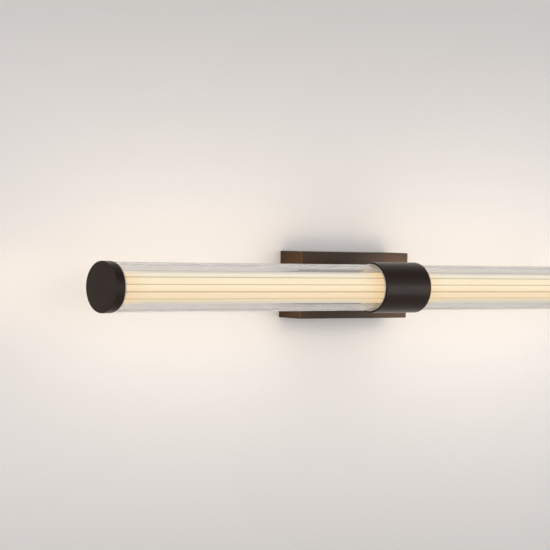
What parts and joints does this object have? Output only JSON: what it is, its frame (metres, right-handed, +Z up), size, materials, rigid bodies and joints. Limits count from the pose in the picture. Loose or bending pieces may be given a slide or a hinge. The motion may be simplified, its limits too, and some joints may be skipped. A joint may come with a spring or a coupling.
{
  "type": "vanity light",
  "caption": "Linear LED wall light with clear ribbed glass tubes on a centre collar, plain end caps that unscrew, a short stem and a box-shaped wall plate.",
  "frame": {"origin": "centre of the mounting bracket's wall face, midway between its two screw slots", "axes": "+X along the light to the viewer's right, +Y into the wall, +Z up; the room is at -Y"},
  "size_m": [0.61, 0.095, 0.057],
  "materials": {
    "dark_bronze": "satin dark bronze powder coat",
    "zinc_steel": "zinc plated",
    "green_steel": "green passivated steel",
    "aluminium": "turned and extruded, satin",
    "ribbed_glass": "clear, ribbed lengthwise",
    "lit_diffuser": "frosted acrylic, lit warm white",
    "clear_silicone": "translucent silicone",
    "board_white": "white solder mask",
    "led_phosphor": "LED phosphor, lit warm white",
    "driver_housing": "moulded white plastic",
    "terminal_plastic": "moulded grey plastic",
    "foam_pad": "double-sided foam pad",
    "lead_black": "insulated wire",
    "lead_white": "insulated wire",
    "lead_grey": "insulated wire",
    "lead_green": "insulated wire"
  },
  "bodies": {
    "root": {"back_plate": "dark_bronze", "mounting_bracket": "zinc_steel", "plate_screws": "dark_bronze", "ground_screw": "green_steel", "led_driver": "driver_housing", "driver_pad": "foam_pad", "terminal_block": "terminal_plastic", "terminal_pad": "foam_pad", "line_lead": "lead_black", "neutral_lead": "lead_white", "ground_lead": "lead_green", "stem": "dark_bronze", "nipple": "zinc_steel", "nipple_nut": "zinc_steel", "lock_washer": "zinc_steel", "centre_collar": "dark_bronze", "centre_hub": "aluminium", "left_seat_gasket": "clear_silicone", "left_glass_tube": "ribbed_glass", "left_diffuser": "lit_diffuser", "left_heat_sink": "aluminium", "left_front_board": "board_white", "left_rear_board": "board_white", "left_front_leds": "led_phosphor", "left_rear_leds": "led_phosphor", "left_rail_screws": "zinc_steel", "left_end_plug": "aluminium", "left_led_lead": "lead_white", "right_seat_gasket": "clear_silicone", "right_glass_tube": "ribbed_glass", "right_diffuser": "lit_diffuser", "right_heat_sink": "aluminium", "right_front_board": "board_white", "right_rear_board": "board_white", "right_front_leds": "led_phosphor", "right_rear_leds": "led_phosphor", "right_rail_screws": "zinc_steel", "right_end_plug": "aluminium", "right_led_lead": "lead_grey"},
    "left_gasket": {"left_cap_gasket": "clear_silicone"},
    "left_cap": {"left_end_cap": "dark_bronze"},
    "right_gasket": {"right_cap_gasket": "clear_silicone"},
    "right_cap": {"right_end_cap": "dark_bronze"}
  },
  "joints": [
    {"name": "left_cap_travel", "type": "slide", "parent": "root", "child": "left_gasket", "axis": [-1, 0, 0], "range_m": [0, 0.00625]},
    {"name": "left_cap_turn", "type": "hinge", "parent": "left_gasket", "child": "left_cap", "pos_m": [-0.3007, -0.0735, 0], "axis": [-1, 0, 0], "range_deg": [0, 1800]},
    {"name": "right_cap_travel", "type": "slide", "parent": "root", "child": "right_gasket", "axis": [1, 0, 0], "range_m": [0, 0.00625]},
    {"name": "right_cap_turn", "type": "hinge", "parent": "right_gasket", "child": "right_cap", "pos_m": [0.3007, -0.0735, 0], "axis": [1, 0, 0], "range_deg": [0, 1800]}
  ],
  "couplings": [
    {"joint": "left_cap_travel", "follows": "left_cap_turn", "m_per_rad": 0.00019894},
    {"joint": "right_cap_travel", "follows": "right_cap_turn", "m_per_rad": 0.00019894}
  ]
}
